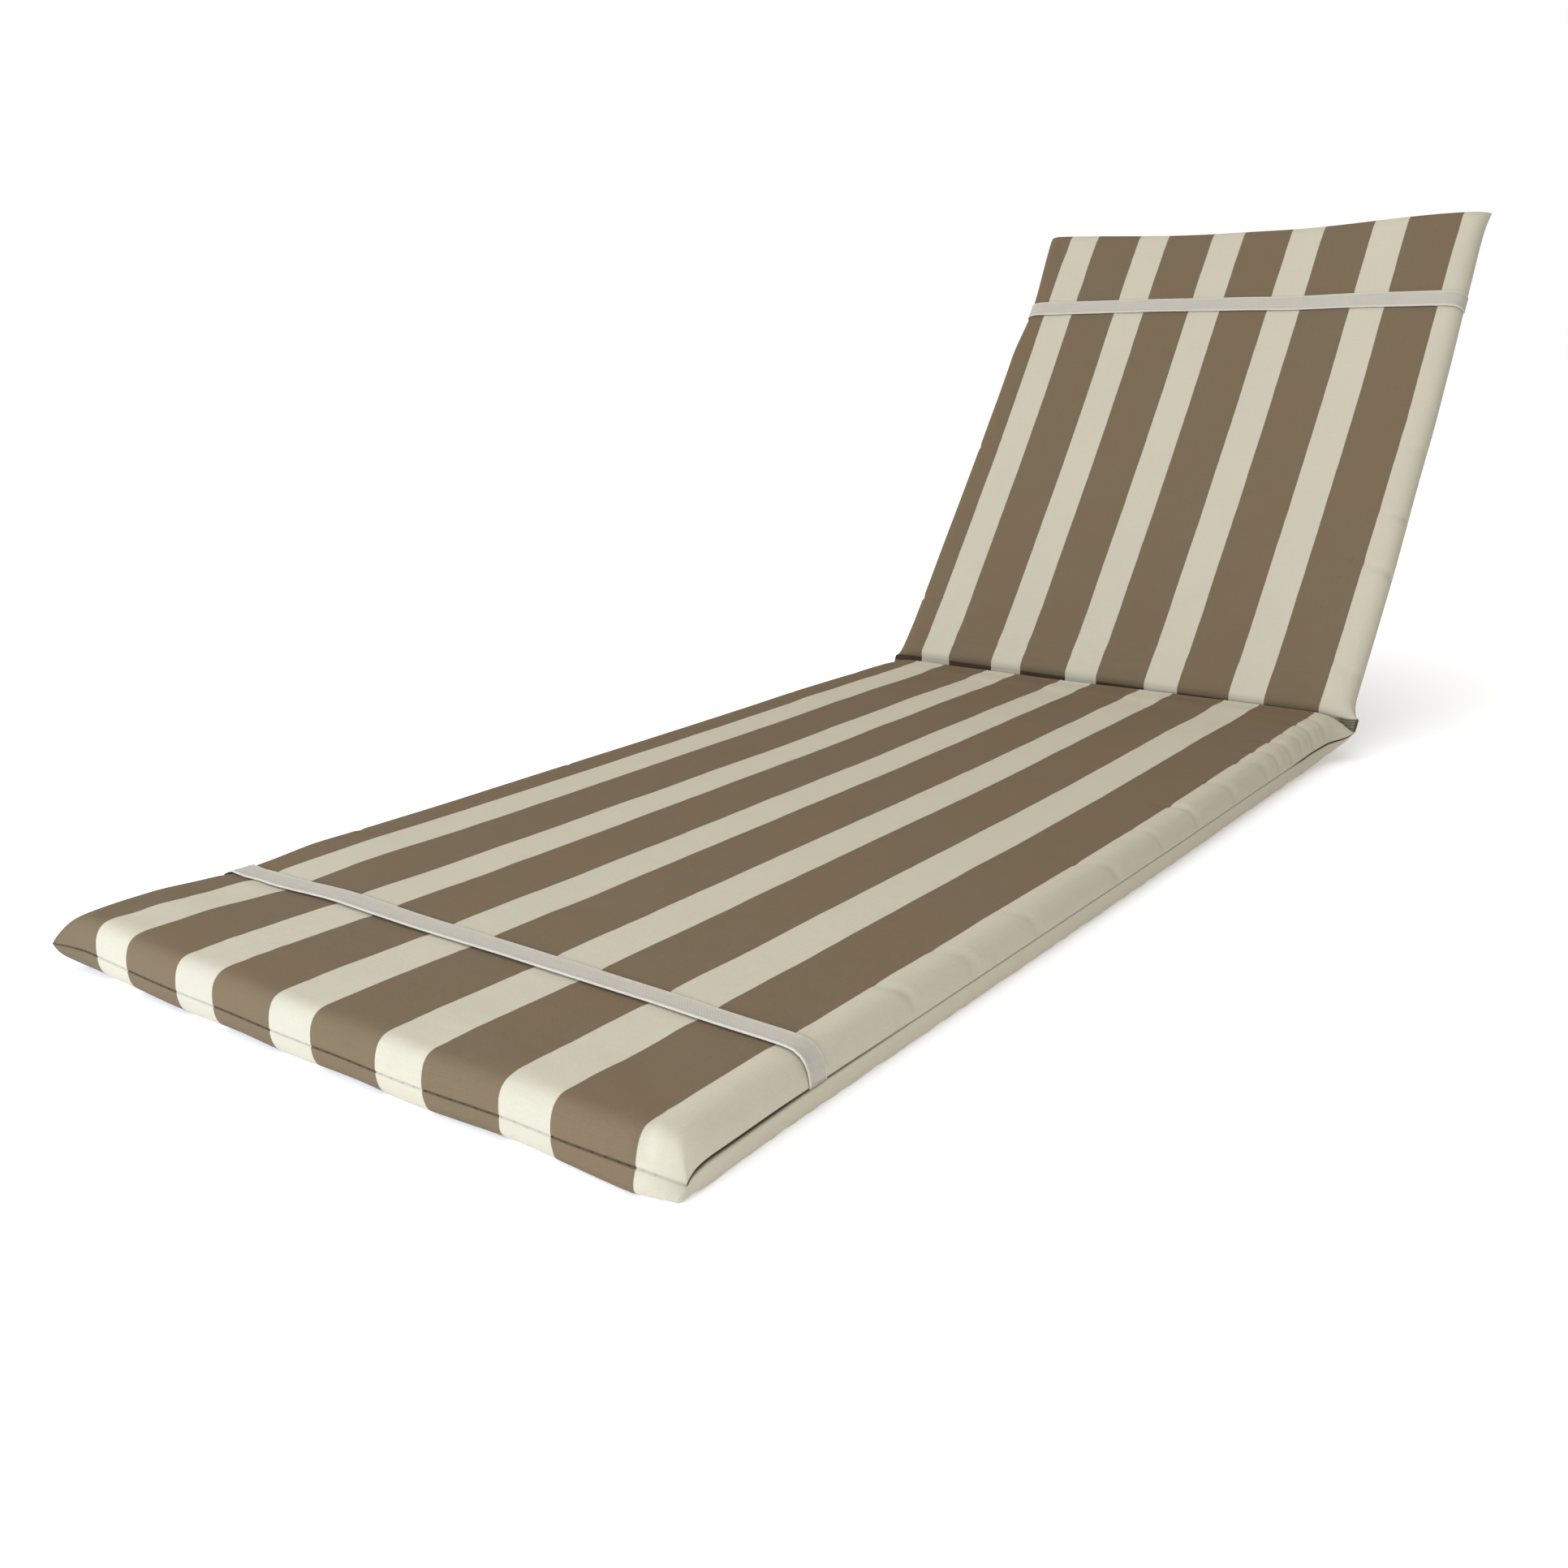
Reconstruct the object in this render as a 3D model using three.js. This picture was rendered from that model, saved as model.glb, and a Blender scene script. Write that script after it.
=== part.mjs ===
import * as THREE from "three";

// Sun lounger cushion: a striped cover over a seat pad and a back pad. The seat lies flat and the
// back is raised, as the cushion lies on a reclined lounger. Between the pads the two sides of the
// cover are sewn flat, which makes the hinge. Two elastic bands cross the face near the ends.
//
// A place on the cushion is given by across, from its middle line to its left or right, and along,
// from the crease of the hinge, negative down the seat and positive up the back.

// Driving dimensions, in millimetres
const WIDTH = 597;
const SEAT_LENGTH = 1136;
const BACK_LENGTH = 671;
const THICKNESS = 42;
const BACK_ANGLE = THREE.MathUtils.degToRad(54.5);

// How the cover rounds over the foam from the seam round its edge: reach inwards, and how square
const SHOULDER = { reach: 18, square: 2.4 };
const END_SHOULDER = { reach: 15, square: 2.6 };
const END_UNDERCUT = { reach: 9, square: 2 };
const BACK_UNDERCUT = { reach: 26, square: 1.3 };
const SEAT_UNDERCUT_AT_FOOT = 2.5;
const SEAT_UNDERCUT_AT_HINGE = 9;

// Half the length of the flat sewn web that joins the two pads
const WEB_HALF = 8;
const WEB_FADE = 22;
const SINK_IN = 9;
const OUT_OF_CREASE = new THREE.Vector3(0, 0.64, -0.77);

// Section through the hinge: points of the face and of the underside as [y, z] from the crease line
// on the floor, and the height of the side seam as a share of the thickness there
const HINGE_SECTION = [
  { name: "seat", along: -120, face: [-120, 42], under: [-120, 0], seam: 0.54 },
  { name: "seat end", along: -90, face: [-90, 42.2], under: [-90, 0], seam: 0.55 },
  { name: "swell", along: -45, face: [-45, 42.6], under: [-42, 4], seam: 0.54 },
  { name: "seat shoulder", along: -22, face: [-17, 43], under: [-19, 10], seam: 0.47 },
  { name: "seat edge", along: -12, face: [-3.5, 43.5], under: [-7, 19], seam: 0.36 },
  { name: "web start", along: -WEB_HALF, face: [0.2, 34], under: [1.2, 30.5], seam: 0.5 },
  { name: "web end", along: WEB_HALF, face: [4.6, 46.6], under: [8, 44.8], seam: 0.5 },
  { name: "back edge", along: 12, face: [3.4, 53.5], under: [22, 33], seam: 0.55 },
  { name: "back shoulder", along: 24, face: [9.2, 63.2], under: [38, 29.5], seam: 0.6 },
  { name: "back", along: 60, face: onBack(60, 1.5), under: onBack(60, -THICKNESS), seam: 0.62 },
  { name: "back start", along: 90, face: onBack(90, 0), under: onBack(90, -THICKNESS), seam: 0.62 },
];
const HINGE_FROM = -90;
const HINGE_TO = 60;
const SHOULDER_END = -13;

// Height of the side seam on the seat, as a share of the thickness
const SEAM_AT_FOOT = 0.43;
const SEAM_AT_HINGE = 0.54;

// How far the seams reach past their nominal lines: the two end seams over the width, and the two
// side seams over the length. flare is how far the underside reaches past the foot seam.
const FOOT_EDGE = [
  { across: -300, reach: 11, flare: 0 },
  { across: -180, reach: 11.5, flare: 0 },
  { across: -60, reach: 7, flare: 0 },
  { across: 60, reach: 1.5, flare: 0 },
  { across: 200, reach: -8.5, flare: 1.5 },
  { across: 300, reach: -14, flare: 9 },
];
const HEAD_EDGE = [
  { across: -300, reach: 1.5 },
  { across: -75, reach: -5 },
  { across: 60, reach: -2 },
  { across: 240, reach: 0 },
  { across: 300, reach: -1 },
];
const SIDE_EDGE = [
  { along: -SEAT_LENGTH, left: -1.5, right: 2 },
  { along: -985, left: -0.5, right: -0.5 },
  { along: -500, left: -0.5, right: 0 },
  { along: -90, left: -2, right: -2.5 },
  { along: 30, left: -9, right: 6 },
  { along: 160, left: -9.5, right: 6 },
  { along: 350, left: -10.5, right: 3 },
  { along: 470, left: -11.5, right: 2 },
  { along: 545, left: -18, right: 1 },
  { along: BACK_LENGTH, left: -9.5, right: -1 },
];
const EDGE_FADE = 220;
const FLARE_FADE = 60;

// The six corners of the pads. An ear is pulled out across and along, and is thinner than the pad;
// a boxed corner is tucked in instead and keeps its height. reach is how far in a corner is felt,
// and sink is how far the web is pushed out of the crease there, which leaves a deep notch.
const CORNERS = [
  { name: "foot left", side: -1, along: -SEAT_LENGTH, out: 8, on: -7, reach: 36, thin: 0.3 },
  { name: "foot right", side: 1, along: -SEAT_LENGTH, out: -2, on: 13, reach: 34, boxed: 1, drop: 0.22 },
  { name: "hinge left", side: -1, along: 0, out: 4, on: 0, reach: 34, thin: 0.4 },
  { name: "hinge right", side: 1, along: 0, out: 13, on: 0, reach: 34, thin: 0.4, sink: 7 },
  { name: "head left", side: -1, along: BACK_LENGTH, out: 3, on: 3, reach: 36, thin: 0.3 },
  { name: "head right", side: 1, along: BACK_LENGTH, out: 3, on: 2, reach: 36, thin: 0.3 },
];

// Where the face of the seat stands higher or lower than a flat pad, and how far each place spreads
const SEAT_SWELLS = [
  { name: "left of the foot", across: -290, along: -1060, height: 2, wide: 400, long: 300 },
  { name: "pressed in by the foot band", across: -290, along: -996, height: -5, wide: 150, long: 80 },
  { name: "up to the hinge", across: 0, along: -30, height: 3, wide: 2000, long: 450 },
  { name: "right of the hinge", across: 330, along: -30, height: 5, wide: 420, long: 520 },
  { name: "left of the hinge", across: -330, along: -30, height: -2, wide: 420, long: 200 },
];

// Where the whole seat is lifted off the floor, and where the back bends forwards out of its plane
const SEAT_LIFTS = [
  { name: "foot, left", across: -330, along: -1180, height: 3, wide: 480, long: 330 },
];
const BACK_BENDS = [
  { name: "belly", across: 0, along: 315, height: -2.5, wide: 700, long: 230 },
  { name: "head, left", across: -250, along: 640, height: 4.5, wide: 450, long: 250 },
  { name: "head, right", across: 320, along: 690, height: 18, wide: 290, long: 320 },
];

// Elastic bands: each crosses the face along its middle line, from just above one side seam to just
// above the other
const BAND_WIDTH = 20;
const BAND_THICKNESS = 1.2;
const BAND_GAP = 0.3;
const BAND_SIDE_GAP = 0.03;
const FOOT_BAND = [
  { across: -300, along: -998 },
  { across: -125, along: -994 },
  { across: 100, along: -988 },
  { across: 300, along: -988.5 },
];
const HEAD_BAND = [
  { across: -300, along: 545 },
  { across: -60, along: 551 },
  { across: 120, along: 550 },
  { across: 300, along: 546 },
];

// Spacing of the grid: close together where the cover turns over the foam
const EDGE_STEPS = [0, 0.8, 2.4, 5, 9, 14, 21, 34];
const FOOT_BAND_ROWS = { from: -1034, to: -950, steps: 7 };
const HEAD_BAND_ROWS = { from: 510, to: 590, steps: 4 };
const SEAT_STEPS = 8;
const BACK_STEPS = 6;
const COLUMN_STEPS = 9;
const STEPS_IN_HINGE_ROW = 3;

// A point of the raised back as [y, z], height in front of its face
function onBack(along, height) {
  const y = along * Math.cos(BACK_ANGLE) - height * Math.sin(BACK_ANGLE);
  const z = THICKNESS + along * Math.sin(BACK_ANGLE) + height * Math.cos(BACK_ANGLE);
  return [y, z];
}

function smooth(from, to, value) {
  return THREE.MathUtils.smoothstep(value, from, to);
}

// Value of a named column at a place, read along a table sorted by another column
function readTable(rows, by, column, place) {
  if (place <= rows[0][by]) return rows[0][column];
  for (let i = 1; i < rows.length; i += 1) {
    const low = rows[i - 1];
    const high = rows[i];
    if (place <= high[by]) {
      const part = (place - low[by]) / (high[by] - low[by]);
      return THREE.MathUtils.lerp(low[column], high[column], part * part * (3 - 2 * part));
    }
  }
  return rows.at(-1)[column];
}

function sumOfSwells(rows, across, along) {
  let height = 0;
  for (const row of rows) {
    const away = Math.hypot((across - row.across) / row.wide, (along - row.along) / row.long);
    height += row.height * (1 - Math.min(1, away) ** 2) ** 2;
  }
  return height;
}

// Share of the full height that the cover has at a distance in from its seam
function rise({ reach, square }, distance) {
  const left = 1 - THREE.MathUtils.clamp(distance / reach, 0, 1);
  return (1 - left ** square) ** (1 / square);
}

function hingeCurve(column) {
  const points = HINGE_SECTION.map((row) => new THREE.Vector3(0, ...row[column]));
  return new THREE.CatmullRomCurve3(points, false, "centripetal");
}
const hingeFace = hingeCurve("face");
const hingeUnder = hingeCurve("under");

// Face, underside and seam height of the plain pads, all at one place along the cushion
function section(along) {
  if (along < HINGE_FROM) {
    const seam = THREE.MathUtils.lerp(SEAM_AT_FOOT, SEAM_AT_HINGE, smooth(-SEAT_LENGTH, HINGE_FROM, along));
    return {
      face: new THREE.Vector3(0, along, THICKNESS),
      under: new THREE.Vector3(0, along, 0),
      seam,
    };
  }
  if (along > HINGE_TO) {
    const { seam } = HINGE_SECTION.at(-1);
    const swell = 1.5 * (1 - smooth(HINGE_TO, 2 * HINGE_TO, along));
    return {
      face: new THREE.Vector3(0, ...onBack(along, swell)),
      under: new THREE.Vector3(0, ...onBack(along, -THICKNESS)),
      seam,
    };
  }
  const next = HINGE_SECTION.findIndex((row) => row.along >= along);
  const low = HINGE_SECTION[next - 1];
  const high = HINGE_SECTION[next];
  const part = (along - low.along) / (high.along - low.along);
  const t = (next - 1 + part) / (HINGE_SECTION.length - 1);
  return {
    face: hingeFace.getPoint(t),
    under: hingeUnder.getPoint(t),
    seam: THREE.MathUtils.lerp(low.seam, high.seam, part),
  };
}

function sideUndercut(along) {
  if (along > 0) return BACK_UNDERCUT;
  const share = smooth(-SEAT_LENGTH, 0, along);
  return { reach: THREE.MathUtils.lerp(SEAT_UNDERCUT_AT_FOOT, SEAT_UNDERCUT_AT_HINGE, share), square: 2 };
}

function endUndercut(along) {
  return along > 0 ? BACK_UNDERCUT : END_UNDERCUT;
}

// A place on the cushion, worked out to its point on the face and on the underside. Both are the
// same point on the seam that runs round the edge.
function coverPoints(across, along) {
  const toSide = WIDTH / 2 - Math.abs(across);
  const toFoot = along + SEAT_LENGTH;
  const toHead = BACK_LENGTH - along;
  const toEnd = Math.min(toFoot, toHead);

  const side = Math.sign(across);
  const sideReach = readTable(SIDE_EDGE, "along", side < 0 ? "left" : "right", along);
  let x = across + side * sideReach * (1 - smooth(0, EDGE_FADE, toSide));
  let place = along;
  place -= readTable(FOOT_EDGE, "across", "reach", across) * (1 - smooth(0, EDGE_FADE, toFoot));
  place += readTable(HEAD_EDGE, "across", "reach", across) * (1 - smooth(0, EDGE_FADE, toHead));

  const sideRise = rise(SHOULDER, toSide);
  const endRise = rise(END_SHOULDER, toEnd);
  let faceShare = sideRise * endRise;
  let underShare = rise(sideUndercut(along), toSide) * rise(endUndercut(along), toEnd);
  let drop = 0;
  let sink = 0;
  const beforePads = 1 - smooth(WEB_HALF, WEB_FADE, Math.abs(along));
  for (const corner of CORNERS) {
    const past = Math.max(0, Math.abs(along - corner.along) - (corner.along === 0 ? WEB_HALF : 0));
    const away = Math.hypot(across - corner.side * WIDTH / 2, past);
    const near = Math.max(0, 1 - away / corner.reach) ** 2;
    const { thin = 0, boxed = 0 } = corner;
    x += corner.side * corner.out * near;
    place += corner.on * near;
    faceShare = THREE.MathUtils.lerp(faceShare, Math.min(sideRise, endRise), boxed * near);
    faceShare *= 1 - thin * near;
    underShare *= 1 - thin * near;
    drop += (corner.drop ?? 0) * near;
    sink += (corner.sink ?? 0) * near * smooth(0, SINK_IN, toSide) * beforePads;
  }

  const { face, under, seam } = section(place);
  const edge = under.clone().lerp(face, seam - drop);
  if (along < 0) {
    face.z += sumOfSwells(SEAT_SWELLS, across, along) * (1 - smooth(SHOULDER_END, -WEB_HALF, along));
    const lift = sumOfSwells(SEAT_LIFTS, across, along);
    [edge, face, under].forEach((point) => {
      point.z = Math.max(0, point.z) + lift;
    });
  }
  const top = edge.clone().lerp(face, faceShare);
  const bottom = edge.clone().lerp(under, underShare);
  const flare = readTable(FOOT_EDGE, "across", "flare", across);
  bottom.y -= flare * underShare * (1 - smooth(0, FLARE_FADE, toFoot));
  if (along > 0) {
    const bend = sumOfSwells(BACK_BENDS, across, along) * smooth(0, 120, along);
    const forward = new THREE.Vector3(0, -Math.sin(BACK_ANGLE), Math.cos(BACK_ANGLE));
    top.addScaledVector(forward, bend);
    bottom.addScaledVector(forward, bend);
  }
  for (const point of [top, bottom]) {
    point.addScaledVector(OUT_OF_CREASE, sink);
    point.x = x;
  }
  return { top, bottom };
}

// Places of the grid lines over one stretch, close together at both of its ends
function spaced(from, to, steps) {
  const start = from + EDGE_STEPS.at(-1);
  const end = to - EDGE_STEPS.at(-1);
  const middle = [];
  for (let i = 1; i < steps; i += 1) {
    middle.push(THREE.MathUtils.lerp(start, end, i / steps));
  }
  const low = EDGE_STEPS.map((step) => from + step);
  const high = EDGE_STEPS.map((step) => to - step).reverse();
  return [...low, ...middle, ...high];
}

const columns = spaced(-WIDTH / 2, WIDTH / 2, COLUMN_STEPS);

function hingeRows() {
  const rows = [];
  const inside = HINGE_SECTION.filter((row) => row.along >= HINGE_FROM && row.along <= HINGE_TO);
  for (let i = 1; i < inside.length; i += 1) {
    for (let step = 0; step < STEPS_IN_HINGE_ROW; step += 1) {
      rows.push(THREE.MathUtils.lerp(inside[i - 1].along, inside[i].along, step / STEPS_IN_HINGE_ROW));
    }
  }
  return rows;
}

function evenRows(from, to, steps) {
  return Array.from({ length: steps }, (_, i) => THREE.MathUtils.lerp(from, to, i / steps));
}

// From foot to head, and closer together under the bands
function cushionRows() {
  return [
    ...EDGE_STEPS.map((step) => step - SEAT_LENGTH),
    ...evenRows(FOOT_BAND_ROWS.from, FOOT_BAND_ROWS.to, FOOT_BAND_ROWS.steps),
    ...evenRows(FOOT_BAND_ROWS.to, HINGE_FROM, SEAT_STEPS),
    ...hingeRows(),
    ...evenRows(HINGE_TO, HEAD_BAND_ROWS.from, BACK_STEPS),
    ...evenRows(HEAD_BAND_ROWS.from, HEAD_BAND_ROWS.to, HEAD_BAND_ROWS.steps),
    HEAD_BAND_ROWS.to,
    ...EDGE_STEPS.map((step) => BACK_LENGTH - step).reverse(),
  ];
}

function closedMesh(name, positions, indices, material) {
  const geometry = new THREE.BufferGeometry();
  geometry.setAttribute("position", new THREE.Float32BufferAttribute(positions, 3));
  geometry.setIndex(indices);
  geometry.computeVertexNormals();
  const mesh = new THREE.Mesh(geometry, material);
  mesh.name = name;
  return mesh;
}

// Two triangles for each cell of a grid of point numbers
function panelTriangles(index) {
  const triangles = [];
  for (let i = 1; i < index.length; i += 1) {
    for (let j = 1; j < index[i].length; j += 1) {
      const [a, b] = [index[i - 1][j - 1], index[i - 1][j]];
      const [d, c] = [index[i][j - 1], index[i][j]];
      triangles.push(a, b, c, a, c, d);
    }
  }
  return triangles;
}

// Seat, hinge and back in one filled cover: two panels over the same grid, joined at the seam
function makeCushion(material) {
  const rows = cushionRows();
  const positions = [];
  const faceIndex = [];
  const underIndex = [];
  let count = 0;
  rows.forEach((along, i) => {
    faceIndex.push([]);
    underIndex.push([]);
    columns.forEach((across, j) => {
      const { top, bottom } = coverPoints(across, along);
      const onSeam = i === 0 || j === 0 || i === rows.length - 1 || j === columns.length - 1;
      positions.push(top.x, top.y, top.z);
      faceIndex[i].push(count);
      count += 1;
      if (onSeam) {
        underIndex[i].push(count - 1);
      } else {
        positions.push(bottom.x, bottom.y, bottom.z);
        underIndex[i].push(count);
        count += 1;
      }
    });
  });

  const indices = [...panelTriangles(faceIndex), ...panelTriangles(underIndex).reverse()];
  return closedMesh("cushion", positions, indices, material);
}

// Point above the face by a small height, square to the cover
function abovePoint(across, along, height) {
  const nudge = 0.5;
  const { top } = coverPoints(across, along);
  const inward = across < 0 ? nudge : -nudge;
  const nextAcross = coverPoints(across + inward, along).top.sub(top).multiplyScalar(Math.sign(inward));
  const nextAlong = coverPoints(across, along + nudge).top.sub(top);
  const normal = nextAcross.cross(nextAlong).normalize();
  return top.addScaledVector(normal, height);
}

function makeBand(name, line, material) {
  const end = WIDTH / 2 - BAND_SIDE_GAP;
  const places = [-end, ...columns.slice(1, -1), end];
  const positions = [];
  places.forEach((across) => {
    const middle = readTable(line, "across", "along", across);
    for (const side of [-0.5, 0.5]) {
      const along = middle + side * BAND_WIDTH;
      for (const height of [BAND_GAP, BAND_GAP + BAND_THICKNESS]) {
        positions.push(...abovePoint(across, along, height).toArray());
      }
    }
  });

  const ring = [0, 2, 3, 1];
  const indices = [];
  for (let j = 1; j < places.length; j += 1) {
    const near = (j - 1) * ring.length;
    const far = j * ring.length;
    ring.forEach((corner, k) => {
      const next = ring[(k + 1) % ring.length];
      indices.push(near + corner, far + next, far + corner, near + corner, near + next, far + next);
    });
  }
  const last = (places.length - 1) * ring.length;
  const [a, b, c, d] = ring;
  indices.push(a, c, b, a, d, c);
  indices.push(last + a, last + b, last + c, last + a, last + c, last + d);
  return closedMesh(name, positions, indices, material);
}

const cover = new THREE.MeshStandardMaterial({ color: 0x9a8768, roughness: 0.9, metalness: 0 });
const elastic = new THREE.MeshStandardMaterial({ color: 0xd6cfc0, roughness: 0.85, metalness: 0 });

const part = new THREE.Group();
part.add(makeCushion(cover));
part.add(makeBand("strap_foot", FOOT_BAND, elastic));
part.add(makeBand("strap_head", HEAD_BAND, elastic));

// The origin is under the middle of the whole cushion, on the floor
const box = new THREE.Box3().setFromObject(part);
const middle = box.getCenter(new THREE.Vector3());
part.position.set(-middle.x, -middle.y, -box.min.z);

export default part;
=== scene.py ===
from bisect import bisect_right
from math import cos, hypot, pi, radians, sin, tanh

import bmesh
import bpy
from mathutils import Matrix, Vector, noise


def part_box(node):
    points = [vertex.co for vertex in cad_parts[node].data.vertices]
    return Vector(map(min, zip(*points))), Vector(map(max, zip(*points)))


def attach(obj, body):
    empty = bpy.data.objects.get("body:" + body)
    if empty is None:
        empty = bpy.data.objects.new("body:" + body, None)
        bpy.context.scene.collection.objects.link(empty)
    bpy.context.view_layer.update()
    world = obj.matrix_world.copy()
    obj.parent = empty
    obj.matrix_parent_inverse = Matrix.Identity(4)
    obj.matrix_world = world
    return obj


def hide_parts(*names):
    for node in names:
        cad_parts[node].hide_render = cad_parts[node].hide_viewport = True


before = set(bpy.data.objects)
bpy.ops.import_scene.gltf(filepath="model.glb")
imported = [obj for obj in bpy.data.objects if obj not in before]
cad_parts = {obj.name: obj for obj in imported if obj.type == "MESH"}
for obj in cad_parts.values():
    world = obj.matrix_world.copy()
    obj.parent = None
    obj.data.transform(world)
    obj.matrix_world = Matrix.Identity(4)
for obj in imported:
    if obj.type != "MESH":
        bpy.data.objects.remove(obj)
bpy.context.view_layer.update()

# Driving dimensions, in millimetres. A place on the cushion is given by across, from its middle
# line to its left or right, and along, from the crease of the hinge, negative down the seat and
# positive up the back. The crease line lies over the start of y, and z starts at the floor.
WIDTH = 597
SEAT_LENGTH = 1136
BACK_LENGTH = 671
THICKNESS = 42
BACK_ANGLE = radians(54.5)
FORWARD = Vector((0, -sin(BACK_ANGLE), cos(BACK_ANGLE)))
MM = 0.001

# How the cover rounds over the foam from the seam round its edge: reach inwards, and how square
SHOULDER = (18, 2.4)
END_SHOULDER = (15, 2.6)
END_UNDERCUT = (9, 2)
BACK_UNDERCUT = (26, 1.3)
SEAT_UNDERCUT_AT_FOOT = 2.5
SEAT_UNDERCUT_AT_HINGE = 9

# Half the length of the flat sewn web that joins the two pads
WEB_HALF = 8
WEB_FADE = 22
SINK_IN = 9
OUT_OF_CREASE = Vector((0, 0.64, -0.77))


def on_back(along, height):
    """A point of the raised back as (y, z), height in front of its face."""
    y = along * cos(BACK_ANGLE) - height * sin(BACK_ANGLE)
    z = THICKNESS + along * sin(BACK_ANGLE) + height * cos(BACK_ANGLE)
    return (y, z)


# Section through the hinge: a point of the face and one of the underside as (y, z), and the height
# of the side seam as a share of the thickness there
HINGE_SECTION = [
    {"name": "seat", "along": -120, "face": (-120, 42), "under": (-120, 0), "seam": 0.54},
    {"name": "seat end", "along": -90, "face": (-90, 42.2), "under": (-90, 0), "seam": 0.55},
    {"name": "swell", "along": -45, "face": (-45, 42.6), "under": (-42, 4), "seam": 0.54},
    {"name": "seat top", "along": -22, "face": (-17, 43), "under": (-19, 10), "seam": 0.47},
    {"name": "seat edge", "along": -12, "face": (-3.5, 43.5), "under": (-7, 19), "seam": 0.36},
    {"name": "web start", "along": -WEB_HALF, "face": (0.2, 34), "under": (1.2, 30.5), "seam": 0.5},
    {"name": "web end", "along": WEB_HALF, "face": (4.6, 46.6), "under": (8, 44.8), "seam": 0.5},
    {"name": "back edge", "along": 12, "face": (3.4, 53.5), "under": (22, 33), "seam": 0.55},
    {"name": "back top", "along": 24, "face": (9.2, 63.2), "under": (38, 29.5), "seam": 0.6},
    {"name": "back", "along": 60, "face": on_back(60, 1.5), "under": on_back(60, -42), "seam": 0.62},
    {"name": "back up", "along": 90, "face": on_back(90, 0), "under": on_back(90, -42), "seam": 0.62},
]
HINGE_FROM = -90
HINGE_TO = 60
SHOULDER_END = -13
SEAM_AT_FOOT = 0.43
SEAM_AT_HINGE = 0.54

# How far the seams reach past their nominal lines: the two end seams over the width, and the two
# side seams over the length. flare is how far the underside reaches past the foot seam.
FOOT_EDGE = [
    {"across": -300, "reach": 11, "flare": 0},
    {"across": -180, "reach": 11.5, "flare": 0},
    {"across": -60, "reach": 7, "flare": 0},
    {"across": 60, "reach": 1.5, "flare": 0},
    {"across": 200, "reach": -8.5, "flare": 1.5},
    {"across": 300, "reach": -14, "flare": 9},
]
HEAD_EDGE = [
    {"across": -300, "reach": 1.5},
    {"across": -75, "reach": -5},
    {"across": 60, "reach": -2},
    {"across": 240, "reach": 0},
    {"across": 300, "reach": -1},
]
SIDE_EDGE = [
    {"along": -1136, "left": -1.5, "right": 2},
    {"along": -985, "left": -0.5, "right": -0.5},
    {"along": -500, "left": -0.5, "right": 0},
    {"along": -90, "left": -2, "right": -2.5},
    {"along": 30, "left": -9, "right": 6},
    {"along": 160, "left": -9.5, "right": 6},
    {"along": 350, "left": -10.5, "right": 3},
    {"along": 470, "left": -11.5, "right": 2},
    {"along": 545, "left": -18, "right": 1},
    {"along": 671, "left": -9.5, "right": -1},
]
EDGE_FADE = 220
FLARE_FADE = 60

# The six corners of the pads. An ear is pulled out across and along, and is thinner than the pad; a
# boxed corner keeps its height, and its seam drops. reach is how far in a corner is felt, and sink
# is how far the web is pushed out of the crease there, which leaves a deep notch.
PLAIN_CORNER = {"thin": 0, "boxed": 0, "drop": 0, "sink": 0}
CORNERS = [
    PLAIN_CORNER | {"side": -1, "along": -1136, "out": 8, "on": -7, "reach": 36, "thin": 0.3},
    PLAIN_CORNER | {"side": 1, "along": -1136, "out": -2, "on": 13, "reach": 34, "boxed": 1, "drop": 0.22},
    PLAIN_CORNER | {"side": -1, "along": 0, "out": 4, "on": 0, "reach": 34, "thin": 0.4},
    PLAIN_CORNER | {"side": 1, "along": 0, "out": 13, "on": 0, "reach": 34, "thin": 0.4, "sink": 7},
    PLAIN_CORNER | {"side": -1, "along": 671, "out": 3, "on": 3, "reach": 36, "thin": 0.3},
    PLAIN_CORNER | {"side": 1, "along": 671, "out": 3, "on": 2, "reach": 36, "thin": 0.3},
]

# Where the face of the seat stands higher or lower than a flat pad, where the whole seat is lifted
# off the floor, and where the back bends forwards out of its plane
SEAT_SWELLS = [
    {"name": "left of the foot", "at": (-290, -1060), "height": 2, "size": (400, 300)},
    {"name": "under the foot band", "at": (-290, -996), "height": -5, "size": (150, 80)},
    {"name": "up to the hinge", "at": (0, -30), "height": 3, "size": (2000, 450)},
    {"name": "right of the hinge", "at": (330, -30), "height": 5, "size": (420, 520)},
    {"name": "left of the hinge", "at": (-330, -30), "height": -2, "size": (420, 200)},
]
SEAT_LIFTS = [
    {"name": "foot, left", "at": (-330, -1180), "height": 3, "size": (480, 330)},
]
BACK_BENDS = [
    {"name": "belly", "at": (0, 315), "height": -2.5, "size": (700, 230)},
    {"name": "head, left", "at": (-250, 640), "height": 4.5, "size": (450, 250)},
    {"name": "head, right", "at": (320, 690), "height": 18, "size": (290, 320)},
]

# Elastic bands: width, thickness, and the middle line of each
BAND_WIDTH = 20
BAND_GAP = 0.3
FOOT_BAND = [
    {"across": -300, "along": -998},
    {"across": -125, "along": -994},
    {"across": 100, "along": -988},
    {"across": 300, "along": -988.5},
]
HEAD_BAND = [
    {"across": -300, "along": 545},
    {"across": -60, "along": 551},
    {"across": 120, "along": 550},
    {"across": 300, "along": 546},
]

# Stripes run the length of the cushion: a cream one starts at each whole repeat from the first
STRIPE_REPEAT = 105
CREAM_SHARE = 0.4
FIRST_CREAM = -252.5


# The cover's shape


def mix(a, b, share):
    return a + (b - a) * share


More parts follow.
